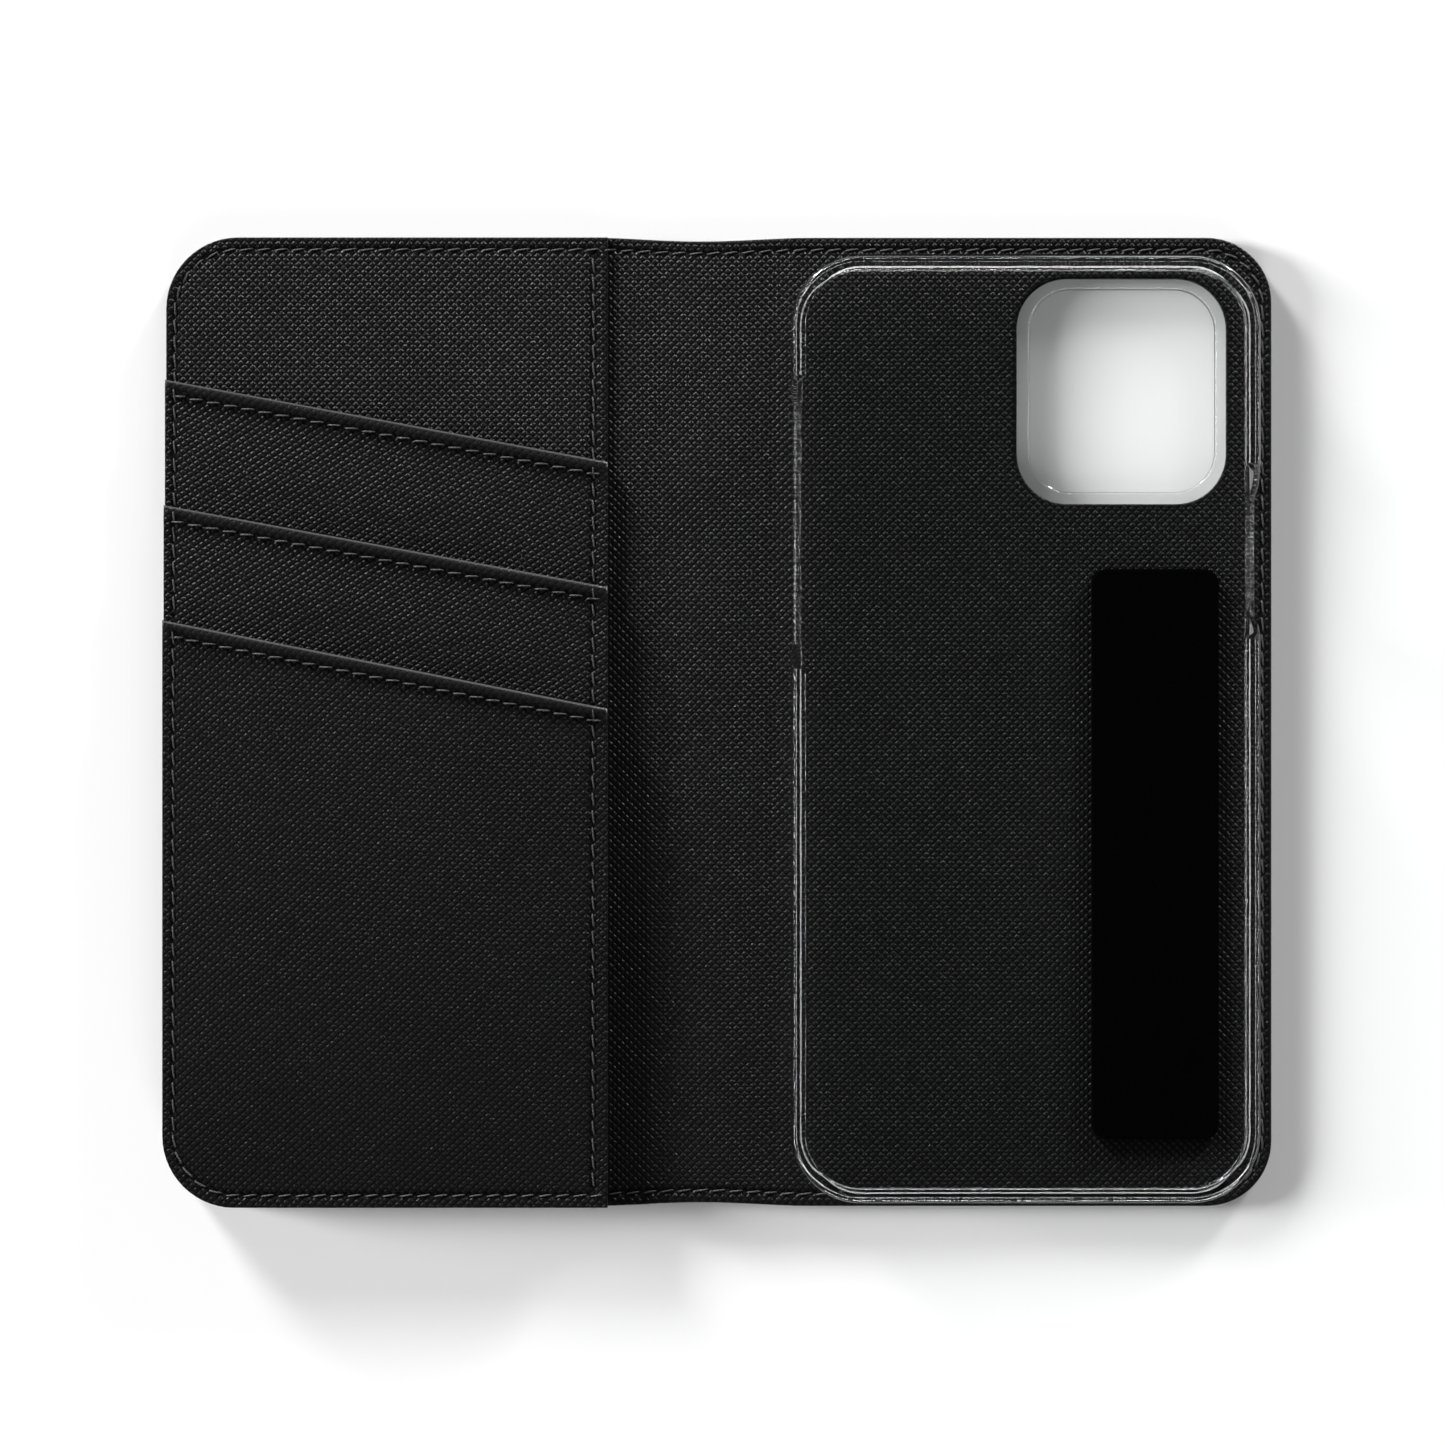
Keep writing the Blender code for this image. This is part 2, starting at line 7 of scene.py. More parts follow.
import bmesh
import bpy
import numpy as np
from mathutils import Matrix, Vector


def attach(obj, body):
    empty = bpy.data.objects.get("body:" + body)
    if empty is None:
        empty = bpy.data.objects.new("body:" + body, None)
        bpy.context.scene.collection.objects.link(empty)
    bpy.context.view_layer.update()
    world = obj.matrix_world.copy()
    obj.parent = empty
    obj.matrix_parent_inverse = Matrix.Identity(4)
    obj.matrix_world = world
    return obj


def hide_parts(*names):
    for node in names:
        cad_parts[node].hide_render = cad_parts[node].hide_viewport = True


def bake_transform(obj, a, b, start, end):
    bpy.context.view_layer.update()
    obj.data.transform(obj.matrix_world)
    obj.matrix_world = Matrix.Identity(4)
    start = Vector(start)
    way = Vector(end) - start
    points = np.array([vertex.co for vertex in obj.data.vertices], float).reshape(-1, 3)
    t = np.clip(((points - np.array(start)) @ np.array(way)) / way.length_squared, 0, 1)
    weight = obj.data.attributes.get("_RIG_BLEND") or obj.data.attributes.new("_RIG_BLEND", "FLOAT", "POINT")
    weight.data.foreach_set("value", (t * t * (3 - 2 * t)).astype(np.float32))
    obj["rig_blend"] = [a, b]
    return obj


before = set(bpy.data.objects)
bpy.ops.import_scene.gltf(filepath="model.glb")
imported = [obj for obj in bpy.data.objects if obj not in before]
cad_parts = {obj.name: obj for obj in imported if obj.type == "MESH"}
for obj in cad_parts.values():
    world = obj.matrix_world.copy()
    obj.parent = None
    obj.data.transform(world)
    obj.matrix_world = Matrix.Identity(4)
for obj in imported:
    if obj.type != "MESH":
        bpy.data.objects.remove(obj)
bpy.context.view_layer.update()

MM = 0.001

# ---------------------------------------------------------------- sizes

HALF_WIDTH, HALF_HEIGHT = 88.0, 77.0
FRONT_CORNER, BACK_CORNER = 11.4, 10.3
COVER_LEFT = -87.72
LEVEL_STEP = 0.12
WAIST_DEPTH, WAIST_CENTRE, WAIST_REACH = 0.6, -2.5, 17.5
CREASE_X = 9.2
BEND_REACH = 2.6

SKIN_TOP, LINING_BOTTOM, LINING_TOP = 0.70, 1.70, 2.20
EDGE_PARTING = 1.20
RIM_WIDTH, RIM_GAP = 0.32, 0.02
SPINE_RISE = 0.22

SEAM_SIDE, SEAM_END = 1.4, 1.95
GROOVE_DEPTH, GROOVE_WIDTH = 0.17, 0.42
STITCH_PITCH, STITCH_LENGTH, STITCH_RADIUS, STITCH_TILT = 2.75, 2.15, 0.135, 8.0

STACK_RIGHT = -17.5
STACK_WIDTH = 70.5
SIDE_SEAM_X = -19.8
HEM_DEPTH = 2.3
SHEET = 0.45
# Underside of the backing and of the three pocket sheets, pressed flat at the seams and full in
# the middle.
SEAM_LEVELS = (2.25, 3.08, 3.92, 4.76)
FULL_LEVELS = (2.35, 3.50, 4.60, 5.70)
BACKING_THICKNESS = 0.5
# How far each sheet sags at the mouth of the pocket in front, and how far from the mouth
MOUTH_SAGS = (0.08, 0.55, 0.55)
SAG_REACH = 7.0
HEM_FOLD, HEM_CROWN = 0.55, 0.20
# (name, level, top edge at the left end, drop towards the spine, bottom edge, grain angle, finish)
POCKETS = (
    ("rear", 1, 54.4, 13.1, -33.0, -11.0, 1.0),
    ("middle", 2, 34.4, 13.0, -53.0, -11.0, 1.0),
    ("front", 3, 16.1, 14.0, -HALF_HEIGHT, -3.0, 0.88),
)

SHELL_CENTRE = (48.4, -1.2)
SHELL_SIZE = (74.0, 149.2)
SHELL_CORNER = 11.0
SHELL_BOTTOM, SHELL_FLOOR_TOP, SHELL_TOP = 3.10, 4.10, 12.40
LOW_WALL_TOP = 5.30
WALL, LIP = 1.12, 1.12
LEFT_CUTOUT = (8.3, 12.3, 50.0, 54.5)
RIGHT_CUTOUT = (13.1, 16.9, 35.1, 40.7)
WINDOW_CENTRE = (64.1, 52.5)
COVER_WINDOW, COVER_WINDOW_CORNER = (33.3, 35.8), 8.0
SHELL_WINDOW, SHELL_WINDOW_CORNER = (29.3, 32.0), 6.5
PAD_CENTRE, PAD_SIZE, PAD_CORNER = (69.4, -21.0), (20.2, 90.6), 2.4
PAD_BOTTOM, PAD_TOP = 2.25, 3.05


# ---------------------------------------------------------------- plan geometry

def outline(corners, spacing=6.0, steps=14, stops=()):
    """Closed anticlockwise outline from (x, y, radius) corners. stops adds points at those y."""
    points = []
    for index, (x, y, radius) in enumerate(corners):
        corner = Vector((x, y))
        before = (Vector(corners[index - 1][:2]) - corner).normalized()
        after = (Vector(corners[(index + 1) % len(corners)][:2]) - corner).normalized()
        if radius == 0:
            points.append(corner)
            continue
        half = before.angle(after) / 2
        centre = corner + (before + after).normalized() * radius / math.sin(half)
        start = corner + before * radius / math.tan(half) - centre
        turn = math.copysign(math.pi - 2 * half, after.cross(before))
        for step in range(steps + 1):
            angle = turn * step / steps
            cosine, sine = math.cos(angle), math.sin(angle)
            points.append(centre + Vector((start.x * cosine - start.y * sine,
                                           start.x * sine + start.y * cosine)))
    fine = []
    for index, point in enumerate(points):
        following = points[(index + 1) % len(points)]
        length = (following - point).length
        pieces = max(1, round(length / spacing))
        shares = {step / pieces for step in range(pieces)}
        if abs(following.y - point.y) > 1:
            shares |= {(stop - point.y) / (following.y - point.y) for stop in stops
                       if 0 < (stop - point.y) / (following.y - point.y) < 1}
        last = -1.0
        for share in sorted(shares):
            if (share - last) * length > 0.02:
                fine.append(tuple(point.lerp(following, share)))
                last = share
    return np.array(fine)


def box_outline(centre, size, radius, **options):
    half_x, half_y = size[0] / 2, size[1] / 2
    return outline([(centre[0] + sx * half_x, centre[1] + sy * half_y, radius)
                    for sx, sy in ((-1, -1), (1, -1), (1, 1), (-1, 1))], **options)


def inward(points):
    """Inward mitres of an anticlockwise outline: point + inset * mitre is the inset outline."""
    step = np.roll(points, -1, 0) - points
    step /= np.linalg.norm(step, axis=1)[:, None]
    after = np.stack([-step[:, 1], step[:, 0]], 1)
    before = np.roll(after, 1, 0)
    return (before + after) / (1 + (before * after).sum(1))[:, None]


def distance_to(route, x, y, closed=False):
    """Distance from each point to a plan-view route."""
    ends = np.array(route, float)
    if closed:
        ends = np.vstack([ends, ends[:1]])
    start, step = ends[:-1], np.diff(ends, axis=0)
    nearest = np.full(len(x), 1e9)
    for (ax, ay), (sx, sy) in zip(start, step):
        share = np.clip(((x - ax) * sx + (y - ay) * sy) / (sx * sx + sy * sy), 0, 1)
        nearest = np.minimum(nearest, np.hypot(x - ax - share * sx, y - ay - share * sy))
    return nearest


def smooth(low, high, value):
    share = np.clip((value - low) / (high - low), 0, 1)
    return share * share * (3 - 2 * share)


def span(loop, start, end):
    """Members of a cyclic list from start to end."""
    count = (end - start) % len(loop)
    return [loop[(start + step) % len(loop)] for step in range(count + 1)]


def ring_fill(work, outer, hole=None, up=True):
    """Fill an outline, or the space between it and a hole in two halves."""
    if hole is None:
        faces = [outer]
    else:
        middle = sum(vertex.co.y for vertex in hole) / len(hole)

        def find(loop, side):
            return min(range(len(loop)),
                       key=lambda i: abs(loop[i].co.y - middle) * 10 - side * loop[i].co.x)
        right, left = find(outer, 1), find(outer, -1)
        hole_right, hole_left = find(hole, 1), find(hole, -1)
        faces = [span(outer, right, left) + span(hole, hole_right, hole_left)[::-1],
                 span(outer, left, right) + span(hole, hole_left, hole_right)[::-1]]
    for face in faces:
        work.faces.new(face if up else face[::-1])


INSETS = (0, 0.05, 0.13, 0.24, 0.32, 0.42, 0.7, 1.0, 1.2, 1.4, 1.6, 1.8, 2.0, 2.2, 2.4, 2.7, 3.2)


def plan(outer, insets=INSETS, hole=None, cuts_x=(), cuts_y=()):
    """Flat mesh inside an outline: rings that follow its edges, and a grid between them. Each
    vertex keeps its distance from the nearest edge, up to the last ring's."""
    work = bmesh.new()
    edge = work.verts.layers.float.new("edge")

    def rings(points, side):
        mitre = inward(points) * side
        loops = []
        for inset in insets:
            loops.append([])
            for x, y in points + mitre * inset:
                vertex = work.verts.new((x, y, 0.0))
                vertex[edge] = inset
                loops[-1].append(vertex)
        for near, far in zip(loops, loops[1:]):
            for index in range(len(near)):
                after = (index + 1) % len(near)
                quad = (near[index], near[after], far[after], far[index])
                work.faces.new(quad if side > 0 else quad[::-1])
        return loops[-1]

    ring_fill(work, rings(outer, 1), None if hole is None else rings(hole, -1))
    for cuts, normal in ((cuts_x, (1, 0, 0)), (cuts_y, (0, 1, 0))):
        for cut in cuts:
            whole = work.verts[:] + work.edges[:] + work.faces[:]
            bmesh.ops.bisect_plane(work, geom=whole, dist=0.02, plane_no=normal,
                                   plane_co=[cut * part for part in normal])
    return work


def half_of(work, side):
    """Copy of a plan, keeping only x < 0 or x > 0."""
    half = work.copy()
    bmesh.ops.delete(half, geom=[v for v in half.verts if v.co.x * side < -1e-3], context="VERTS")
    return half


# ---------------------------------------------------------------- meshes

def new_object(name, points, faces, material, grain=None, finish_and_highlight=None, sharp=42):
    """Mesh object from points in millimetres. grain and finish_and_highlight become attributes for its
    leather: the grain's depth, and along pocket folds a painted highlight.
    """
    mesh = bpy.data.meshes.new(name)
    mesh.from_pydata((np.asarray(points, float) * MM).tolist(), [], faces)
    mesh.materials.append(material)
    if grain is not None:
        layer = mesh.attributes.new("grain_space", "FLOAT_VECTOR", "POINT")
        layer.data.foreach_set("vector", np.asarray(grain, np.float32).ravel())
        layer = mesh.attributes.new("grain_finish_and_highlight", "FLOAT", "POINT")
        layer.data.foreach_set("value", np.asarray(finish_and_highlight, np.float32))
    mesh.validate()
    mesh.shade_smooth()
    mesh.set_sharp_from_angle(angle=math.radians(sharp))
    made = bpy.data.objects.new(name, mesh)
    bpy.context.scene.collection.objects.link(made)
    return made


GRAIN_SLIDE = 0.7


def grain_of(points, angle):
    """Leather coordinates: the plan turned by an angle, carried on down the edges by height."""
    turn = math.radians(angle)
    x = points[:, 0] + GRAIN_SLIDE * points[:, 2]
    y = points[:, 1] + GRAIN_SLIDE * points[:, 2]
    return np.stack([x * math.cos(turn) + y * math.sin(turn),
                     y * math.cos(turn) - x * math.sin(turn), points[:, 2]], 1)


def solid(name, work, top, bottom, material, angle=0.0, finish_and_highlight=None, warp=None):
    """Closed sheet over a plan. top and bottom give heights from x, y and distance to the edge."""
    edge = work.verts.layers.float["edge"]
    work.verts.index_update()
    flat = np.array([(v.co.x, v.co.y, v[edge]) for v in work.verts])
    x, y, near = flat.T
    count = len(flat)
    strength = np.ones(count) if finish_and_highlight is None else finish_and_highlight(x, y, near)
    high, low = top(x, y, near), bottom(x, y, near)
    if warp:
        y = warp(x, y)
    points = np.vstack([np.stack([x, y, high], 1), np.stack([x, y, low], 1)])
    faces = []
    for face in work.faces:
        index = [v.index for v in face.verts]
        faces.append(index)
        faces.append([i + count for i in reversed(index)])
    for border in work.edges:
        if len(border.link_loops) == 1:
            loop = border.link_loops[0]
            first, second = loop.vert.index, loop.link_loop_next.vert.index
            faces.append([first, first + count, second + count, second])
    work.free()
    return new_object(name, points, faces, material, grain_of(points, angle), np.tile(strength, 2))


def rounded_drop(near, radius):
    """How far an edge's rounding takes the surface down."""
    short = np.clip(radius - near, 0, radius)
    return radius - np.sqrt(radius * radius - short * short)


def groove(distance, depth=GROOVE_DEPTH, width=GROOVE_WIDTH):
    return depth * np.exp(-(distance / width) ** 2)


# ---------------------------------------------------------------- materials

class Nodes:
    """Small helper that adds and links shader nodes."""

    def __init__(self, name):
        self.material = bpy.data.materials.new(name)
        self.material.use_nodes = True
        self.tree = self.material.node_tree
        self.shader = self.tree.nodes["Principled BSDF"]
        self.output = self.tree.nodes["Material Output"]

    def add(self, kind, **settings):
        node = self.tree.nodes.new(kind)
        for key, value in settings.items():
            setattr(node, key, value)
        return node

    def link(self, source, target):
        self.tree.links.new(source, target)

    def put(self, value, target):
        if isinstance(value, bpy.types.NodeSocket):
            self.link(value, target)
        else:
            target.default_value = value

    def math(self, operation, first, second=0.0, clamp=False):
        node = self.add("ShaderNodeMath", operation=operation, use_clamp=clamp)
        for value, target in zip((first, second), node.inputs):
            self.put(value, target)
        return node.outputs[0]

    def vector(self, operation, first, second=(0, 0, 0)):
        node = self.add("ShaderNodeVectorMath", operation=operation)
        self.put(first, node.inputs[0])
        if operation == "SCALE":
            self.put(second, node.inputs["Scale"])
        else:
            self.put(second, node.inputs[1])
        return node.outputs[0]

    def noise(self, where, scale, detail=2.0, roughness=0.5):
        node = self.add("ShaderNodeTexNoise")
        self.link(where, node.inputs["Vector"])
        node.inputs["Scale"].default_value = scale
        node.inputs["Detail"].default_value = detail
        node.inputs["Roughness"].default_value = roughness
        return node

    def ramp(self, value, low, high, to_low=0.0, to_high=1.0, kind="SMOOTHSTEP"):
        node = self.add("ShaderNodeMapRange", interpolation_type=kind)
        for target, item in zip(node.inputs, (value, low, high, to_low, to_high)):
            self.put(item, target)
        return node.outputs[0]

    def mix(self, factor, first, second):
        node = self.add("ShaderNodeMix", data_type="RGBA")
        self.put(factor, node.inputs["Factor"])
        for value, target in ((first, node.inputs[6]), (second, node.inputs[7])):
            self.put(value if isinstance(value, bpy.types.NodeSocket) else (*value, 1.0), target)
        return node.outputs[2]

    def bump(self, height, distance, normal=None):
        node = self.add("ShaderNodeBump")
        node.inputs["Strength"].default_value = 1.0
        node.inputs["Distance"].default_value = distance
        self.link(height, node.inputs["Height"])
        if normal is not None:
            self.link(normal, node.inputs["Normal"])
        return node.outputs[0]


GRAIN_LINE = 0.925
# Above 1, the creases between diamonds have a flat floor, which the colour paints dark as shade.
GRAIN_CREASE = 1.17
# How the grain's lines stray, in millimetres: (noise scale, detail, reach)
GRAIN_WANDER = ((0.55, 2.0, 0.16), (2.6, 1.0, 0.12))
PILLOW_POWER = 3.0
GRAIN_DEPTH, PORE_DEPTH = 0.115, 0.035
# The crease colour is painted shade, darker than the crown colour.
PAINTED_CREASE_SHADE, CROWN = (0.0004, 0.0004, 0.0005), (0.0068, 0.0068, 0.0071)
ROUGHNESS, CREASE_ROUGHNESS, PORE_ROUGHNESS, CREASE_SHARE = 0.26, 0.7, 0.14, 0.14
# Along the pocket folds the grain is smoother and the colour is painted lighter: partly rubbed wear, partly
# a painted highlight on the fold.
RUBBED_AND_HIGHLIGHT_COLOUR = (0.040, 0.040, 0.042)


def leather(name):
    """Cross-hatched leather: small pillowed diamonds, with painted shade darkening the creases between them.
    """
    n = Nodes(name)
    place = n.add("ShaderNodeAttribute", attribute_name="grain_space").outputs["Vector"]
    finish_and_highlight = n.add("ShaderNodeAttribute", attribute_name="grain_finish_and_highlight").outputs["Fac"]
    moved = place
    for scale, detail, reach in GRAIN_WANDER:
        wander = n.vector("SUBTRACT", n.noise(place, scale, detail).outputs["Color"], (0.5, 0.5, 0.5))
        moved = n.vector("ADD", moved, n.vector("SCALE", wander, reach))
    turned = n.add("ShaderNodeMapping")
    n.link(moved, turned.inputs["Vector"])
    turned.inputs["Rotation"].default_value = (0, 0, math.radians(45))
    turned.inputs["Scale"].default_value = (1 / GRAIN_LINE, 1 / GRAIN_LINE, 1 / GRAIN_LINE)
    parts = n.add("ShaderNodeSeparateXYZ")
    n.link(turned.outputs[0], parts.inputs[0])
    across = []
    for axis in (0, 1):
        wave = n.math("PINGPONG", parts.outputs[axis], 0.5)
        slope = n.math("MULTIPLY", wave, 2.0 * GRAIN_CREASE)
        side = n.math("SUBTRACT", GRAIN_CREASE, slope, clamp=True)
        across.append(n.math("SUBTRACT", 1.0, n.math("POWER", side, PILLOW_POWER)))
    pillow = n.math("MULTIPLY", across[0], across[1])
    pores = n.noise(place, 5.5, 3.0, 0.6).outputs["Fac"]
    cloud = n.noise(place, 0.05, 3.0, 0.55).outputs["Fac"]
    height = n.math("MULTIPLY", pillow, finish_and_highlight)
    normal = n.bump(height, GRAIN_DEPTH * MM)
    normal = n.bump(pores, PORE_DEPTH * MM, normal)
    # Painted shade: the colour runs from the crown colour down to a darker colour in the creases.
    shade = n.math("ADD", n.math("MULTIPLY", pillow, 0.8), n.math("MULTIPLY", pores, 0.3))
    colour = n.mix(n.ramp(shade, 0.1, 1.0), PAINTED_CREASE_SHADE, CROWN)
    tone = n.ramp(cloud, 0.3, 0.7, 0.86, 1.14, "LINEAR")
    # Painted highlight, partly rubbed wear: where the finish value is lowest, along the pocket folds, the
    # colour turns lighter.
    burnish_and_highlight = n.ramp(finish_and_highlight, 0.30, 0.08)
    toned = n.mix(burnish_and_highlight, n.vector("SCALE", colour, tone), RUBBED_AND_HIGHLIGHT_COLOUR)
    n.link(toned, n.shader.inputs["Base Color"])
    smoothness = n.ramp(pillow, 0.0, CREASE_SHARE, CREASE_ROUGHNESS, ROUGHNESS)
    rough = n.math("ADD", n.math("MULTIPLY", pores, PORE_ROUGHNESS), smoothness)
    n.link(rough, n.shader.inputs["Roughness"])
    n.link(normal, n.shader.inputs["Normal"])
    n.shader.inputs["IOR"].default_value = 1.5
    n.shader.inputs["Specular IOR Level"].default_value = 0.22
    return n.material


def thread_material():
    n = Nodes("stitching_thread")
    place = n.add("ShaderNodeAttribute", attribute_name="grain_space").outputs["Vector"]
    twist = n.add("ShaderNodeTexWave", wave_type="BANDS", bands_direction="DIAGONAL")
    n.link(place, twist.inputs["Vector"])
    twist.inputs["Scale"].default_value = 1.3
    twist.inputs["Distortion"].default_value = 1.2
    fuzz = n.noise(place, 9.0, 2.0).outputs["Fac"]
    colour = n.mix(twist.outputs["Fac"], (0.006, 0.006, 0.0065), (0.026, 0.026, 0.027))
    n.link(colour, n.shader.inputs["Base Color"])
    n.link(n.ramp(fuzz, 0.3, 0.7, 0.38, 0.6), n.shader.inputs["Roughness"])
    normal = n.bump(twist.outputs["Fac"], 0.05 * MM, n.bump(fuzz, 0.03 * MM))
    n.link(normal, n.shader.inputs["Normal"])
    n.shader.inputs["Sheen Weight"].default_value = 0.15
    return n.material


def foam_material():
    n = Nodes("black_foam_pad")
    place = n.add("ShaderNodeTexCoord").outputs["Object"]
    cells = n.add("ShaderNodeTexVoronoi", feature="F1")
    n.link(place, cells.inputs["Vector"])
    cells.inputs["Scale"].default_value = 2600.0
    cloud = n.noise(place, 90.0, 3.0).outputs["Fac"]
    colour = n.mix(cloud, (0.0002, 0.0002, 0.0002), (0.0005, 0.0005, 0.0005))
    n.link(colour, n.shader.inputs["Base Color"])
    n.link(n.ramp(cells.outputs["Distance"], 0.0, 0.8, 0.85, 1.0), n.shader.inputs["Roughness"])
    n.link(n.bump(cells.outputs["Distance"], 0.06 * MM), n.shader.inputs["Normal"])
    n.shader.inputs["Specular IOR Level"].default_value = 0.01
    return n.material


def board_material(name, light, dark):
    n = Nodes(name)
    place = n.add("ShaderNodeTexCoord").outputs["Object"]
    fibre = n.noise(place, 900.0, 4.0, 0.65).outputs["Fac"]
    n.link(n.mix(fibre, dark, light), n.shader.inputs["Base Color"])
    n.link(n.ramp(fibre, 0.3, 0.7, 0.8, 0.95), n.shader.inputs["Roughness"])
    n.link(n.bump(fibre, 0.05 * MM), n.shader.inputs["Normal"])
    return n.material


def clear_material():
    """Clear moulded plastic that lets lamps through."""
    n = Nodes("clear_shell_plastic")
    place = n.add("ShaderNodeTexCoord").outputs["Object"]
    flow = n.noise(place, 45.0, 2.0, 0.5).outputs["Fac"]
    scuff = n.noise(place, 700.0, 3.0, 0.6).outputs["Fac"]
    n.shader.inputs["Base Color"].default_value = (0.94, 0.945, 0.945, 1.0)
    n.link(n.ramp(scuff, 0.45, 0.75, 0.035, 0.07), n.shader.inputs["Roughness"])
    n.link(n.bump(flow, 0.12 * MM), n.shader.inputs["Normal"])
    n.shader.inputs["IOR"].default_value = 1.55
    n.shader.inputs["Transmission Weight"].default_value = 1.0
    passing = n.add("ShaderNodeBsdfTransparent")
    passing.inputs["Color"].default_value = (0.91, 0.915, 0.915, 1.0)
    path, surface = n.add("ShaderNodeLightPath"), n.shader.outputs[0]
    for ray in ("Is Shadow Ray", "Is Diffuse Ray", "Is Glossy Ray"):
        chosen = n.add("ShaderNodeMixShader")
        n.link(path.outputs[ray], chosen.inputs[0])
        n.link(surface, chosen.inputs[1])
        n.link(passing.outputs[0], chosen.inputs[2])
        surface = chosen.outputs[0]
    n.link(surface, n.output.inputs["Surface"])
    return n.material


def table_material():
    n = Nodes("pale_table")
    place = n.add("ShaderNodeTexCoord").outputs["Object"]
    tone = n.noise(place, 3.0, 2.0).outputs["Fac"]
    n.link(n.mix(tone, (0.86, 0.86, 0.86), (0.88, 0.88, 0.88)), n.shader.inputs["Base Color"])
    n.shader.inputs["Roughness"].default_value = 0.8
    n.shader.inputs["Specular IOR Level"].default_value = 0.2
    return n.material


OUTER = leather("black_crosshatch_outer")
INNER = leather("black_crosshatch_lining")
POCKET = leather("black_crosshatch_pocket")
THREAD = thread_material()
FOAM = foam_material()
CLEAR = clear_material()


# ---------------------------------------------------------------- cover sheets

def waist(x, y):
    """The cover's ends draw in a little across the spine."""
    share = np.clip((x - WAIST_CENTRE) / WAIST_REACH, -1, 1)
    return y * (1 - WAIST_DEPTH * np.cos(share * math.pi / 2) ** 2 / HALF_HEIGHT)


def cover_corners(inset_side, inset_end):
    left, right, end = COVER_LEFT + inset_side, HALF_WIDTH - inset_side, HALF_HEIGHT - inset_end
    front, back = FRONT_CORNER - inset_side, BACK_CORNER - inset_side
    return [(left, -end, front), (right, -end, back), (right, end, back), (left, end, front)]


EDGE_SEAM = outline(cover_corners(SEAM_SIDE, SEAM_END), spacing=4.0)


def edge_groove(x, y, depth=GROOVE_DEPTH):
    return groove(distance_to(EDGE_SEAM, x, y, closed=True), depth)


def crease_dent(x):
    """Shallow hollows where the cover has been folded."""
    return 0.10 * np.exp(-((np.abs(x) - CREASE_X) / 1.4) ** 2)


def lining_surface(x, y):
    """Height of the lining's face, without its edge rounding."""
    rise = SPINE_RISE * np.cos(np.clip(x / CREASE_X, -1, 1) * math.pi / 2) ** 2
    return LINING_TOP + rise - crease_dent(x) - edge_groove(x, y)


def lining_top(x, y, near):
    return lining_surface(x, y) - rounded_drop(near, 0.30)


def at_rim(near):
    """1 at the cover's edges, where skin and lining meet, and 0 over the board."""
    return smooth(RIM_WIDTH + 0.08, RIM_WIDTH - 0.06, near)


def lining_bottom(x, y, near):
    return LINING_BOTTOM - (LINING_BOTTOM - EDGE_PARTING - RIM_GAP) * at_rim(near)


def skin_top(x, y, near):
    return SKIN_TOP + (EDGE_PARTING - RIM_GAP - SKIN_TOP) * at_rim(near)


def skin_bottom(x, y, near):
    return rounded_drop(near, 0.36) + edge_groove(x, y, 0.34) + crease_dent(x)


def cover_plan():
    fine = [side * (CREASE_X + step) for side in (-1, 1) for step in np.arange(-3.5, 3.6, 0.5)]
    broad = list(np.arange(-80, 81, 8.0)) + list(np.arange(-5, 5.1, 1.0))
    cuts = sorted(set(np.round(fine + broad, 3)))
    window = box_outline(WINDOW_CENTRE, COVER_WINDOW, COVER_WINDOW_CORNER, spacing=4.0)
    return plan(outline(cover_corners(0, 0), stops=(WINDOW_CENTRE[1],)), hole=window,
                cuts_x=cuts, cuts_y=np.arange(-70, 71, 10.0))


def edge_wear(x, y, near):
    """Grain is pressed flatter along the outer edges."""
    return 0.55 + 0.45 * smooth(0.0, 1.0, near)


FRONT_BEND = ("front_cover", "spine", (-CREASE_X - BEND_REACH, 0, 0), (-CREASE_X + BEND_REACH, 0, 0))
BACK_BEND = ("spine", "back_cover", (CREASE_X - BEND_REACH, 0, 0), (CREASE_X + BEND_REACH, 0, 0))


def bend(piece, side):
    first, second, start, end = FRONT_BEND if side < 0 else BACK_BEND
    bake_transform(piece, first, second, start=[MM * v for v in start], end=[MM * v for v in end])


def build_cover():
    base = cover_plan()
    for side, half in ((-1, "front"), (1, "back")):
        for name, top, bottom, material, slot in (
                ("outer_skin", skin_top, skin_bottom, OUTER, "outer_leather"),
                ("lining", lining_top, lining_bottom, INNER, "lining_leather")):
            piece = solid(f"{name}_{half}", half_of(base, side), top, bottom, material,
                          finish_and_highlight=edge_wear, warp=waist)
            bend(piece, side)
            crease = name.replace("outer_", "")
            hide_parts(f"{half}_{name}", f"{half}_crease_{crease}", f"spine_{name}")
    base.free()


# ---------------------------------------------------------------- pocket sheets

def level_left(level):
    return COVER_LEFT - LEVEL_STEP * level


def edge_height(top_left, drop, x):
    """Height up the cover of a pocket's slanted top edge at x."""
    return top_left - drop * (x + HALF_WIDTH) / STACK_WIDTH


def fullness(x, y):
    """0 where the stack is sewn flat, 1 in the middle of the pockets."""
    left, right, end = COVER_LEFT + SEAM_SIDE, SIDE_SEAM_X, HALF_HEIGHT - SEAM_END
    across = np.clip((x - left) / (right - left), 0, 1)
    from_bottom = np.sin(np.clip((y + end) / 42, 0, 1) * math.pi / 2)
    from_top = np.sin(np.clip((end - y) / 30, 0, 1) * math.pi / 2)
    return np.sin(across * math.pi) ** 0.8 * (from_bottom * from_top)


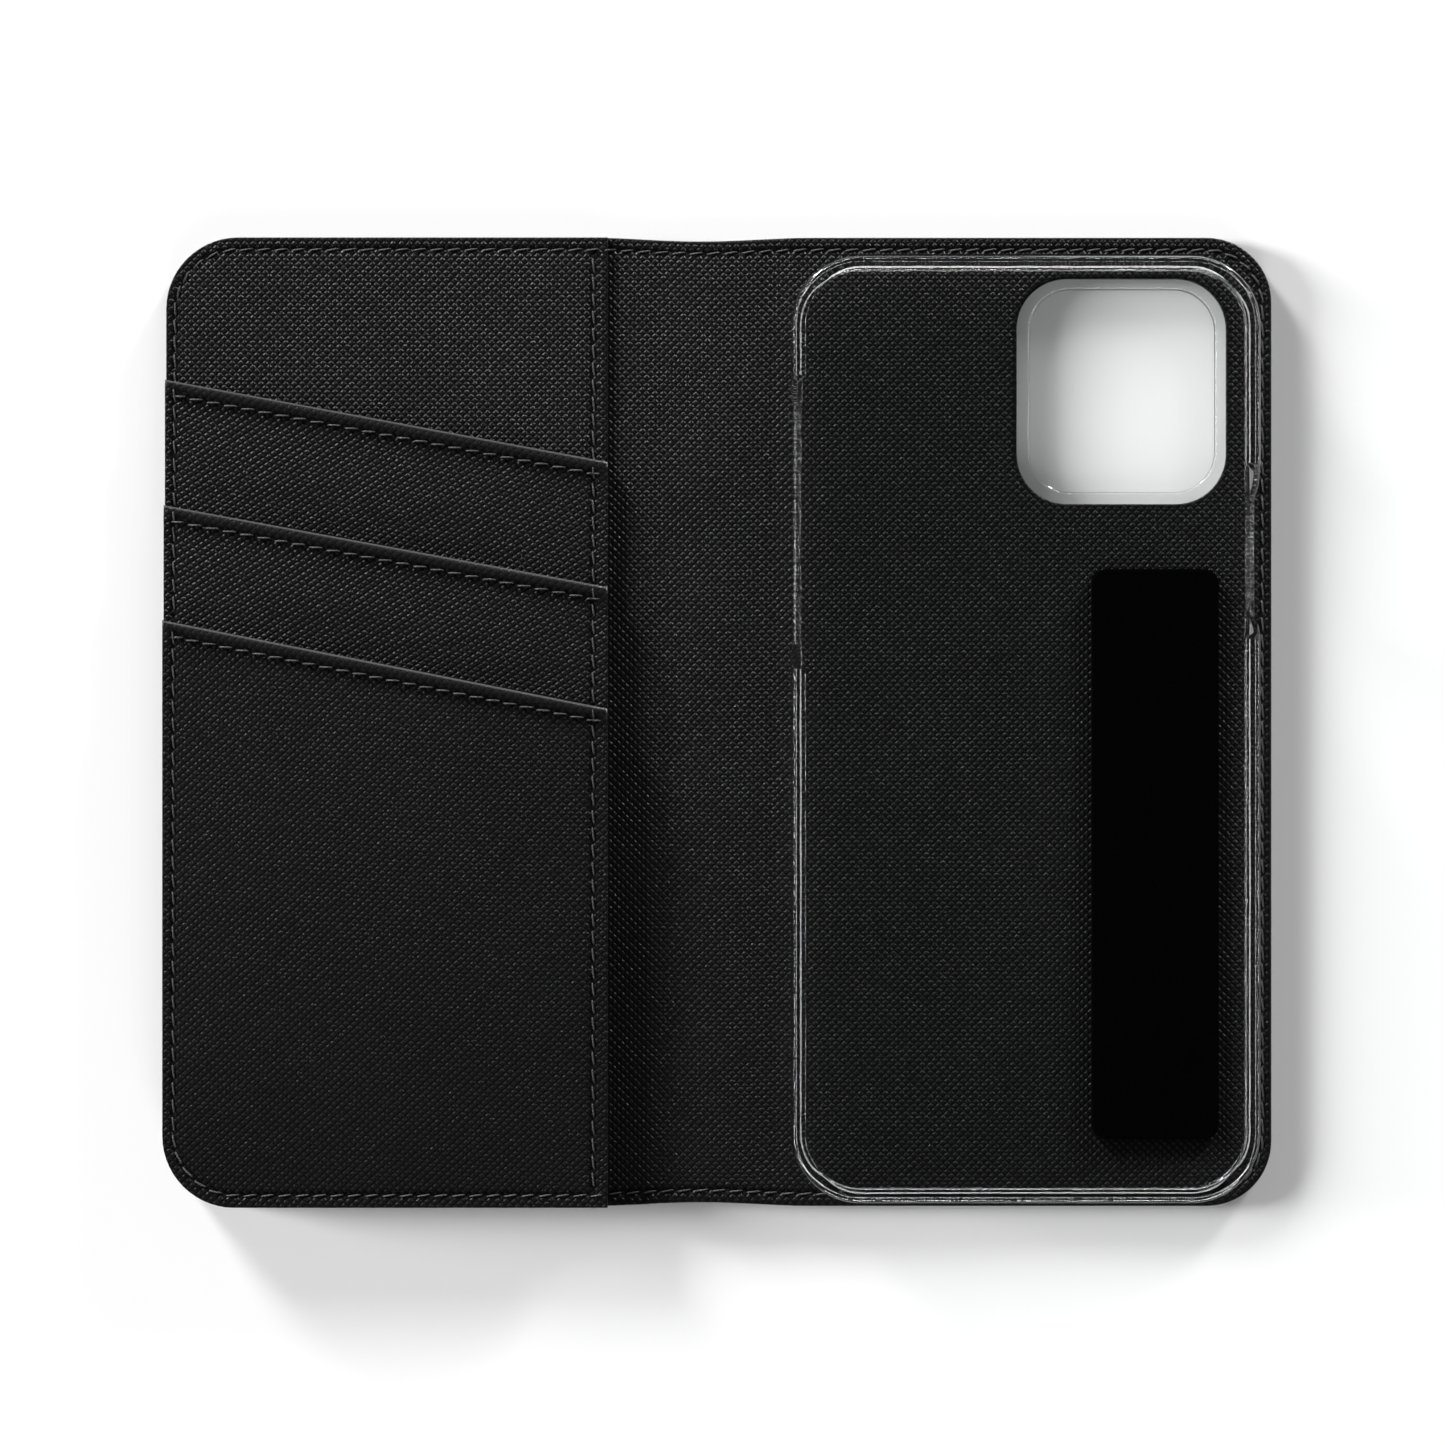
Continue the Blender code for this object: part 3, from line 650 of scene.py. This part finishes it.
def level_height(level, x, y):
    """Underside of a sheet of the stack. It sags a little into the mouth of the pocket in front."""
    low, high = SEAM_LEVELS[level], FULL_LEVELS[level]
    height = low + (high - low) * fullness(x, y)
    for _, front_level, top_left, drop, *_ in POCKETS:
        if front_level == level + 1:
            ahead = y - edge_height(top_left, drop, x)
            sag = smooth(SAG_REACH, 0.0, np.abs(ahead + 1.0))
            height = height - MOUTH_SAGS[level] * fullness(x, y) * sag
    return height


SIDE_SEAM = [(SIDE_SEAM_X, HALF_HEIGHT - SEAM_END), (SIDE_SEAM_X, SEAM_END - HALF_HEIGHT)]


def hem_seam(top_left, drop, level):
    return [(x, edge_height(top_left, drop, x) - HEM_DEPTH)
            for x in (level_left(level) + 0.3, STACK_RIGHT - 0.3)]


def stack_groove(x, y):
    return np.maximum(edge_groove(x, y), groove(distance_to(SIDE_SEAM, x, y)))


def pocket_functions(level, top_left, drop, bottom_edge):
    """Top and underside of one pocket sheet, with its folded and sewn hem."""
    seam = hem_seam(top_left, drop, level)
    slope = math.cos(math.atan(drop / STACK_WIDTH))
    under_thickness = BACKING_THICKNESS if level == 1 else SHEET

    def from_edge(x, y):
        return (edge_height(top_left, drop, x) - y) * slope

    def band(x, y):
        return smooth(HEM_DEPTH + 0.7, HEM_DEPTH - 0.2, from_edge(x, y))

    def fold(x, y):
        return rounded_drop(np.maximum(from_edge(x, y), 0), HEM_FOLD)

    def top(x, y, near):
        side = np.minimum(near, np.minimum(x - level_left(level), STACK_RIGHT - x).clip(0))
        crown = HEM_CROWN * band(x, y) * smooth(0, 1.2, from_edge(x, y))
        return (level_height(level, x, y) + SHEET + crown - fold(x, y)
                - rounded_drop(side, 0.16) * (from_edge(x, y) > 0.5) - stack_groove(x, y)
                - groove(distance_to(seam, x, y), 0.16, 0.34))

    def underside(x, y, near):
        height = level_height(level, x, y)
        beside = np.minimum(np.minimum(x - level_left(level), STACK_RIGHT - x),
                            y - bottom_edge if bottom_edge == -HALF_HEIGHT else 1e3)
        if bottom_edge == -HALF_HEIGHT:
            beside = np.minimum(beside, near)
        glued = smooth(3.0, 2.4, beside) * smooth(3.2, 4.2, from_edge(x, y))
        gap = height - (level_height(level - 1, x, y) + under_thickness) - 0.04
        return height - glued * gap - 0.26 * band(x, y) + np.minimum(fold(x, y), 0.30)

    # The second term, right at the fold, drives the lighter fold colour: a painted highlight, partly rubbed
    # wear.
    def finish_and_highlight(x, y, near):
        return (1 - 0.62 * smooth(HEM_DEPTH + 0.1, HEM_DEPTH - 0.5, from_edge(x, y))
                - 0.34 * smooth(0.46, 0.10, from_edge(x, y)))

    return top, underside, finish_and_highlight


def stack_plan(level, bottom_edge, top_left=None, drop=None):
    left, right = level_left(level), STACK_RIGHT
    if top_left is None:
        corners = [(left, -HALF_HEIGHT, FRONT_CORNER), (right, -HALF_HEIGHT, 0),
                   (right, HALF_HEIGHT, 0), (left, HALF_HEIGHT, FRONT_CORNER)]
    else:
        round_corner = FRONT_CORNER if bottom_edge == -HALF_HEIGHT else 0
        corners = [(left, bottom_edge, round_corner), (right, bottom_edge, 0),
                   (right, edge_height(top_left, drop, right), 0),
                   (left, edge_height(top_left, drop, left), 0)]
    return plan(outline(corners, spacing=4.0), cuts_x=np.arange(-84, -20, 3.0),
                cuts_y=np.arange(-72, 74, 4.0))


def build_pockets():
    base = stack_plan(0, None)
    backing = solid(
        "pocket_backing_sheet", base,
        lambda x, y, near: (level_height(0, x, y) + BACKING_THICKNESS - rounded_drop(near, 0.2)
                            - stack_groove(x, y)),
        lambda x, y, near: level_height(0, x, y), INNER, finish_and_highlight=edge_wear)
    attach(backing, "front_cover")
    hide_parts("pocket_backing", "seam_tape_cash")
    for name, level, top_left, drop, bottom_edge, angle, strength in POCKETS:
        top, underside, finish_and_highlight = pocket_functions(level, top_left, drop, bottom_edge)
        piece = solid(f"card_pocket_sheet_{name}", stack_plan(level, bottom_edge, top_left, drop),
                      top, underside, POCKET, angle,
                      lambda x, y, near: strength * finish_and_highlight(x, y, near))
        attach(piece, "front_cover")
        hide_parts(f"card_pocket_{name}", f"seam_tape_{name}")


# ---------------------------------------------------------------- stitching

def stack_surface(x, y):
    """Height of whatever is uppermost at a point of the inner face."""
    height = lining_surface(x, y)
    on_stack = x < STACK_RIGHT
    backing = level_height(0, x, y) + BACKING_THICKNESS - stack_groove(x, y)
    height = np.where(on_stack, backing, height)
    for _, level, top_left, drop, bottom_edge, _, _ in POCKETS:
        top, _, _ = pocket_functions(level, top_left, drop, bottom_edge)
        inside = on_stack & (y < edge_height(top_left, drop, x) - 0.1)
        height = np.where(inside, top(x, y, np.full(len(x), 5.0)), height)
    return height


def along(route, closed):
    """Positions and directions at any distance along a route."""
    ends = np.array(route, float)
    if closed:
        ends = np.vstack([ends, ends[:1]])
    lengths = np.concatenate([[0], np.cumsum(np.linalg.norm(np.diff(ends, axis=0), axis=1))])

    def at(distance):
        x = np.interp(distance, lengths, ends[:, 0])
        y = np.interp(distance, lengths, ends[:, 1])
        ahead = np.minimum(distance + 0.2, lengths[-1])
        behind = np.maximum(distance - 0.2, 0)
        dx = np.interp(ahead, lengths, ends[:, 0]) - np.interp(behind, lengths, ends[:, 0])
        dy = np.interp(ahead, lengths, ends[:, 1]) - np.interp(behind, lengths, ends[:, 1])
        size = np.hypot(dx, dy)
        return x, y, dx / size, dy / size
    return at, lengths[-1]


SIDES, RUNS = 8, 9
STITCH_STEP = 1.0


def stitches(name, route, surface, keep=None, closed=False, up=1.0, warp=None,
             ends=(0.0, 0.0), rise=0.05):
    """Row of separate slanted stitches laid in a seam's groove. None bridges a tall step."""
    at, total = along(route, closed)
    usable = total - sum(ends)
    count = max(1, round(usable / STITCH_PITCH))
    pitch = usable / count
    points, faces, grains = [], [], []
    shares = np.linspace(-0.5, 0.5, RUNS)
    for index in range(count):
        middle = ends[0] + pitch * (index + 0.5)
        distance = middle + shares * STITCH_LENGTH
        x, y, dx, dy = at(np.clip(distance, 0, total))
        lean = shares * STITCH_LENGTH * math.tan(math.radians(STITCH_TILT))
        x, y = x - dy * lean, y + dx * lean
        if keep is not None and not keep(x[RUNS // 2], y[RUNS // 2]):
            continue
        arch = 1 - np.abs(shares * 2) ** 3
        radius = STITCH_RADIUS * (0.72 + 0.28 * arch)
        z = surface(x, y) + up * (rise + (STITCH_RADIUS + 0.10) * (arch - 0.55))
        if np.ptp(z) > STITCH_STEP:
            continue
        if warp:
            y = warp(x, y)
        base = len(points)
        for run in range(RUNS):
            for side in range(SIDES):
                angle = 2 * math.pi * side / SIDES
                out, high = math.cos(angle) * radius[run], math.sin(angle) * radius[run]
                points.append((x[run] - dy[run] * out, y[run] + dx[run] * out, z[run] + high))
                grains.append((distance[run], angle * 0.3, index * 3.1))
        for run in range(RUNS - 1):
            for side in range(SIDES):
                after = (side + 1) % SIDES
                first, second = base + run * SIDES, base + (run + 1) * SIDES
                faces.append((first + side, second + side, second + after, first + after))
        faces.append([base + side for side in range(SIDES)])
        faces.append([base + (RUNS - 1) * SIDES + side for side in reversed(range(SIDES))])
    piece = new_object(name, points, faces, THREAD, grains, np.ones(len(points)), sharp=80)
    return piece


def outer_seam_surface(x, y):
    return np.full(len(x), 0.34 - STITCH_RADIUS - 0.02)


def build_stitching():
    for side, half in ((-1, "front"), (1, "back")):
        inner = stitches(f"edge_stitches_{half}", EDGE_SEAM, stack_surface, closed=True, warp=waist,
                         keep=lambda x, y: x * side > 0)
        outer = stitches(f"outer_edge_stitches_{half}", EDGE_SEAM, outer_seam_surface,
                         closed=True, warp=waist, keep=lambda x, y: x * side > 0, up=-0.35, rise=0.0)
        for piece in (inner, outer):
            bend(piece, side)
        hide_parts(f"{half}_edge_thread", "spine_top_thread", "spine_bottom_thread")
    side_seam = stitches("pocket_side_stitches", SIDE_SEAM, stack_surface, ends=(1.2, 1.2))
    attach(side_seam, "front_cover")
    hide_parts("pocket_side_thread")
    for name, level, top_left, drop, bottom_edge, _, _ in POCKETS:
        top, _, _ = pocket_functions(level, top_left, drop, bottom_edge)
        hem = stitches(f"hem_stitches_{name}", hem_seam(top_left, drop, level),
                       lambda x, y: top(x, y, np.full(len(x), 5.0)), ends=(0.6, 0.6))
        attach(hem, "front_cover")
        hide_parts(f"hem_thread_{name}")


# ---------------------------------------------------------------- clear shell

def fillet(corners, steps=4):
    """Open profile from (across, up, radius) corners, each rounded over the same number of points."""
    points = []
    for index, (x, y, radius) in enumerate(corners):
        corner = Vector((x, y))
        if radius == 0 or index in (0, len(corners) - 1):
            points.append(corner)
            continue
        before = Vector(corners[index - 1][:2]) - corner
        after = Vector(corners[index + 1][:2]) - corner
        half = before.angle(after) / 2
        reach = min(radius / math.tan(half), 0.48 * before.length, 0.48 * after.length)
        radius = reach * math.tan(half)
        before.normalize()
        after.normalize()
        centre = corner + (before + after).normalized() * radius / math.sin(half)
        start = corner + before * reach - centre
        turn = math.copysign(math.pi - 2 * half, after.cross(before))
        for step in range(steps + 1):
            angle = turn * step / steps
            cosine, sine = math.cos(angle), math.sin(angle)
            points.append(centre + Vector((start.x * cosine - start.y * sine,
                                           start.x * sine + start.y * cosine)))
    return np.array([tuple(point) for point in points])


def wall_face(z):
    """How far the shell's outer face is drawn in at a height: it swells out at mid height."""
    if z < 8.0:
        return 0.78 * ((8.0 - z) / 4.9) ** 1.5
    return 0.25 * ((z - 8.0) / 4.4) ** 2


def wall_profile(height, lip):
    """Section through floor, wall and lip. Across is measured in from the shell's outer face."""
    under = height - 0.85
    levels = [4.6 + (under - 4.6) * share for share in (0.2, 0.4, 0.6, 0.8)]
    corners = [(2.5, SHELL_FLOOR_TOP, 0), (wall_face(4.1) + WALL - 0.1, SHELL_FLOOR_TOP, 0.7)]
    corners += [(wall_face(z) + WALL, z, 0) for z in levels]
    corners += [(wall_face(under) + WALL, under, 0.25),
                (wall_face(height) + WALL + lip, under + 0.08, 0.3),
                (wall_face(height) + WALL + lip, height - 0.26, 0.45),
                (wall_face(height) + 1.0, height, 1.0),
                (wall_face(height) + 0.02, height - 0.14, 0.7)]
    corners += [(wall_face(z), z, 0) for z in reversed([4.3 + (height - 1.0 - 4.3) * s for s in
                                                       (0.0, 0.12, 0.25, 0.4, 0.55, 0.7, 0.85)])]
    corners += [(wall_face(3.3), SHELL_BOTTOM, 0.75), (2.5, SHELL_BOTTOM, 0)]
    return fillet(corners)


def wall_height(x, y):
    """Top of the wall at a point of the shell's outline, lowered at the button cut-outs."""
    ramp_start, low_start, low_end, ramp_end = LEFT_CUTOUT if x < SHELL_CENTRE[0] else RIGHT_CUTOUT
    if abs(x - SHELL_CENTRE[0]) < SHELL_SIZE[0] / 2 - 0.1:
        return SHELL_TOP
    share = max(np.interp(y, (ramp_start, low_start), (1, 0)),
                np.interp(y, (low_end, ramp_end), (0, 1)))
    eased = 0.75 * share + 0.25 * float(smooth(0, 1, np.array(share)))
    return LOW_WALL_TOP + (SHELL_TOP - LOW_WALL_TOP) * eased


def shell_mesh():
    stops = []
    for ramp_start, low_start, low_end, ramp_end in (LEFT_CUTOUT, RIGHT_CUTOUT):
        stops += list(np.linspace(ramp_start - 0.3, low_start + 0.3, 20))
        stops += list(np.linspace(low_end - 0.3, ramp_end + 0.3, 20))
    path = box_outline(SHELL_CENTRE, SHELL_SIZE, SHELL_CORNER, spacing=5.0, steps=20,
                       stops=stops + [WINDOW_CENTRE[1]])
    mitre = inward(path)
    work = bmesh.new()
    columns = []
    for (x, y), (mx, my) in zip(path, mitre):
        height = wall_height(x, y)
        lip = LIP * float(np.clip((height - 10.9) / 1.4, 0.02, 1))
        columns.append([work.verts.new((x + mx * across, y + my * across, z))
                        for across, z in wall_profile(height, lip)])
    sweep(work, columns, flip=False)
    hole = box_outline(WINDOW_CENTRE, SHELL_WINDOW, SHELL_WINDOW_CORNER, spacing=4.0, steps=14)
    out = -inward(hole)
    rim = fillet([(1.8, SHELL_FLOOR_TOP, 0), (0, SHELL_FLOOR_TOP, 0.4), (0.22, 0.5, 0.3),
                  (0.85, 0.5, 0.3), (1.3, SHELL_BOTTOM, 0.3), (1.8, SHELL_BOTTOM, 0)])
    rim_columns = [[work.verts.new((x + ox * across, y + oy * across, z)) for across, z in rim]
                   for (x, y), (ox, oy) in zip(hole, out)]
    sweep(work, rim_columns, flip=True)
    for row, up in ((0, True), (-1, False)):
        ring_fill(work, [column[row] for column in columns],
                  [column[row] for column in rim_columns], up=up)
    bmesh.ops.recalc_face_normals(work, faces=work.faces)
    return work


def sweep(work, columns, flip):
    for index, column in enumerate(columns):
        following = columns[(index + 1) % len(columns)]
        for row in range(len(column) - 1):
            quad = (column[row], following[row], following[row + 1], column[row + 1])
            work.faces.new(quad[::-1] if flip else quad)


# Port, and the sound slots on its two sides: (offset, size, corner radius)
SLOTS = ((0, (11.5, 4.6), 2.0), (-15.4, (12.9, 2.6), 1.25), (15.4, (12.9, 2.6), 1.25))
SLOT_HEIGHT = 7.85


def slot_cutter(offset, size, radius):
    """Rounded bar through the shell's bottom wall."""
    loop = box_outline((SHELL_CENTRE[0] + offset, SLOT_HEIGHT), size, radius, spacing=40, steps=6)
    wall_y = SHELL_CENTRE[1] - SHELL_SIZE[1] / 2
    count = len(loop)
    points = [(x, wall_y + dy, z) for dy in (-3.0, 2.2) for x, z in loop]
    faces = [list(range(count)), [count + i for i in reversed(range(count))]]
    faces += [(i, i + count, (i + 1) % count + count, (i + 1) % count) for i in range(count)]
    tool = new_object(f"slot_{offset:+.0f}", points, faces, CLEAR)
    work = bmesh.new()
    work.from_mesh(tool.data)
    bmesh.ops.recalc_face_normals(work, faces=work.faces)
    work.to_mesh(tool.data)
    work.free()
    return tool


def build_shell():
    work = shell_mesh()
    work.verts.index_update()
    rough = new_object("shell_blank", [v.co for v in work.verts],
                       [[v.index for v in f.verts] for f in work.faces], CLEAR)
    work.free()
    tools = [slot_cutter(*slot) for slot in SLOTS]
    for tool in tools:
        cut = rough.modifiers.new(tool.name, "BOOLEAN")
        cut.operation = "DIFFERENCE"
        cut.object = tool
        cut.solver = "EXACT"
    bpy.context.view_layer.update()
    mesh = bpy.data.meshes.new_from_object(rough.evaluated_get(bpy.context.evaluated_depsgraph_get()))
    mesh.name = "clear_phone_shell"
    mesh.shade_smooth()
    mesh.set_sharp_from_angle(angle=math.radians(38))
    shell = bpy.data.objects.new("clear_phone_shell", mesh)
    bpy.context.scene.collection.objects.link(shell)
    for item in [rough, *tools]:
        bpy.data.objects.remove(item, do_unlink=True)
    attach(shell, "back_cover")
    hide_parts("phone_shell")


def build_pad():
    base = plan(box_outline(PAD_CENTRE, PAD_SIZE, PAD_CORNER, spacing=5.0, steps=8),
                insets=(0, 0.04, 0.1, 0.2, 0.35, 0.6, 1.2),
                cuts_x=np.arange(60, 80, 4.0), cuts_y=np.arange(-64, 22, 6.0))
    pad = solid("shell_foam_pad", base,
                lambda x, y, near: PAD_TOP - rounded_drop(near, 0.3),
                lambda x, y, near: PAD_BOTTOM + rounded_drop(near, 0.2), FOAM)
    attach(pad, "back_cover")
    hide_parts("shell_adhesive_pad")


# ---------------------------------------------------------------- carried-over CAD pieces

def dress(node, material):
    """Give a CAD node that stays its own material."""
    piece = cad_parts[node]
    piece.data.materials.clear()
    piece.data.materials.append(material)


# ---------------------------------------------------------------- stage

def aim(thing):
    """Turn a lamp towards the middle of the case."""
    thing.rotation_mode = "QUATERNION"
    thing.rotation_quaternion = (-thing.location).to_track_quat("-Z", "Y")


def lamp(name, place, size, watts):
    light = bpy.data.lights.new(name, "AREA")
    light.shape = "RECTANGLE"
    light.size, light.size_y = size
    light.energy = watts
    made = bpy.data.objects.new(name, light)
    made.location = place
    aim(made)
    bpy.context.scene.collection.objects.link(made)
    return made


def sun(name, heading, elevation, softness, strength, glossy):
    """Distant soft light from a plan heading and an elevation in degrees."""
    light = bpy.data.lights.new(name, "SUN")
    light.angle = math.radians(softness)
    light.energy = strength
    made = bpy.data.objects.new(name, light)
    flat = Vector((*heading, 0)).normalized() * math.cos(math.radians(elevation))
    made.location = flat + Vector((0, 0, math.sin(math.radians(elevation))))
    aim(made)
    made.visible_glossy = glossy
    bpy.context.scene.collection.objects.link(made)


# Narrow lamps that only the clear shell reflects: (name, place, size, watts), in metres.
SHELL_STRIPS = (
    ("corner_strip", (-0.9, 0.9, 0.9), (0.9, 0.16), 12.0),
    ("top_strip", (0.1, 1.2, 0.9), (1.6, 0.12), 16.0),
    ("left_strip", (-1.2, -0.1, 1.0), (1.6, 0.12), 14.0),
    ("right_strip", (1.2, 0.1, 0.9), (1.6, 0.12), 15.0),
    ("bottom_strip", (0.2, -1.1, 0.9), (1.6, 0.14), 28.0),
    ("left_high_strip", (-0.45, 0.0, 1.3), (1.6, 0.08), 3.6),
    ("top_high_strip", (0.0, 0.45, 1.3), (1.6, 0.08), 3.6),
    ("right_high_strip", (0.60, 0.0, 1.3), (1.6, 0.08), 3.0),
    ("bottom_high_strip", (0.0, -0.50, 1.3), (1.6, 0.10), 7.0),
)


TABLE_REACH, TABLE_HEIGHT = 2000.0, -0.02
# World light by the height of its direction: full up to the first height, faded out at the second
WORLD_FADE = (0.45, 0.90)
WORLD_STRENGTH = (0.14, 0.012)


# (name, heading in plan, elevation, softness in degrees, strength, seen in reflections)
SUNS = (
    ("low_sun", (-0.98, 0.12), 10.0, 19.0, 10.0, False),
    ("key_sun_left", (-0.60, 0.80), 10.0, 13.0, 6.0, True),
    ("key_sun_right", (0.57, 0.82), 7.0, 11.0, 4.6, True),
    ("fill_sun", (0.20, -0.98), 16.0, 30.0, 2.1, False),
)
# In metres. The lens is in millimetres.
CAMERA_PLACE = (0.0007, -0.0001, 0.800)
CAMERA_SENSOR, CAMERA_LENS = 36.0, 125.0
CAMERA_CLIP = (0.05, 10.0)


def build_stage():
    corners = [(x * TABLE_REACH, y * TABLE_REACH, TABLE_HEIGHT)
               for x, y in ((-1, -1), (1, -1), (1, 1), (-1, 1))]
    table = new_object("table", corners, [(0, 1, 2, 3)], table_material())
    for sun_settings in SUNS:
        sun(*sun_settings)
    shell_only = bpy.data.collections.new("shell_lighting")
    shell_only.objects.link(bpy.data.objects["clear_phone_shell"])
    for name, place, size, watts in SHELL_STRIPS:
        strip = lamp(name, place, size, watts)
        strip.light_linking.receiver_collection = shell_only
    world = bpy.data.worlds.new("studio")
    bpy.context.scene.world = world
    world.use_nodes = True
    tree = world.node_tree
    back = tree.nodes["Background"]
    back.inputs["Color"].default_value = (1.0, 1.0, 1.0, 1.0)
    direction = tree.nodes.new("ShaderNodeTexCoord")
    parts = tree.nodes.new("ShaderNodeSeparateXYZ")
    fade = tree.nodes.new("ShaderNodeMapRange")
    fade.interpolation_type = "SMOOTHSTEP"
    for socket, value in zip(fade.inputs[1:], WORLD_FADE + WORLD_STRENGTH):
        socket.default_value = value
    tree.links.new(direction.outputs["Generated"], parts.inputs[0])
    tree.links.new(parts.outputs["Z"], fade.inputs[0])
    tree.links.new(fade.outputs[0], back.inputs["Strength"])
    camera_data = bpy.data.cameras.new("camera")
    camera_data.sensor_width, camera_data.lens = CAMERA_SENSOR, CAMERA_LENS
    camera_data.clip_start, camera_data.clip_end = CAMERA_CLIP
    camera = bpy.data.objects.new("camera", camera_data)
    camera.location = CAMERA_PLACE
    bpy.context.scene.collection.objects.link(camera)
    bpy.context.scene.camera = camera
    bpy.context.scene.view_settings.view_transform = "Standard"


# ---------------------------------------------------------------- assembly

build_cover()
build_pockets()
build_stitching()
build_shell()
build_pad()
for node, material, light, dark in (
        ("front_board", "grey_board_front", (0.34, 0.32, 0.28), (0.22, 0.205, 0.18)),
        ("back_board", "grey_board_back", (0.34, 0.32, 0.28), (0.22, 0.205, 0.18)),
        ("spine_interlining", "black_interlining", (0.03, 0.03, 0.03), (0.015, 0.015, 0.015))):
    dress(node, board_material(material, light, dark))
build_stage()
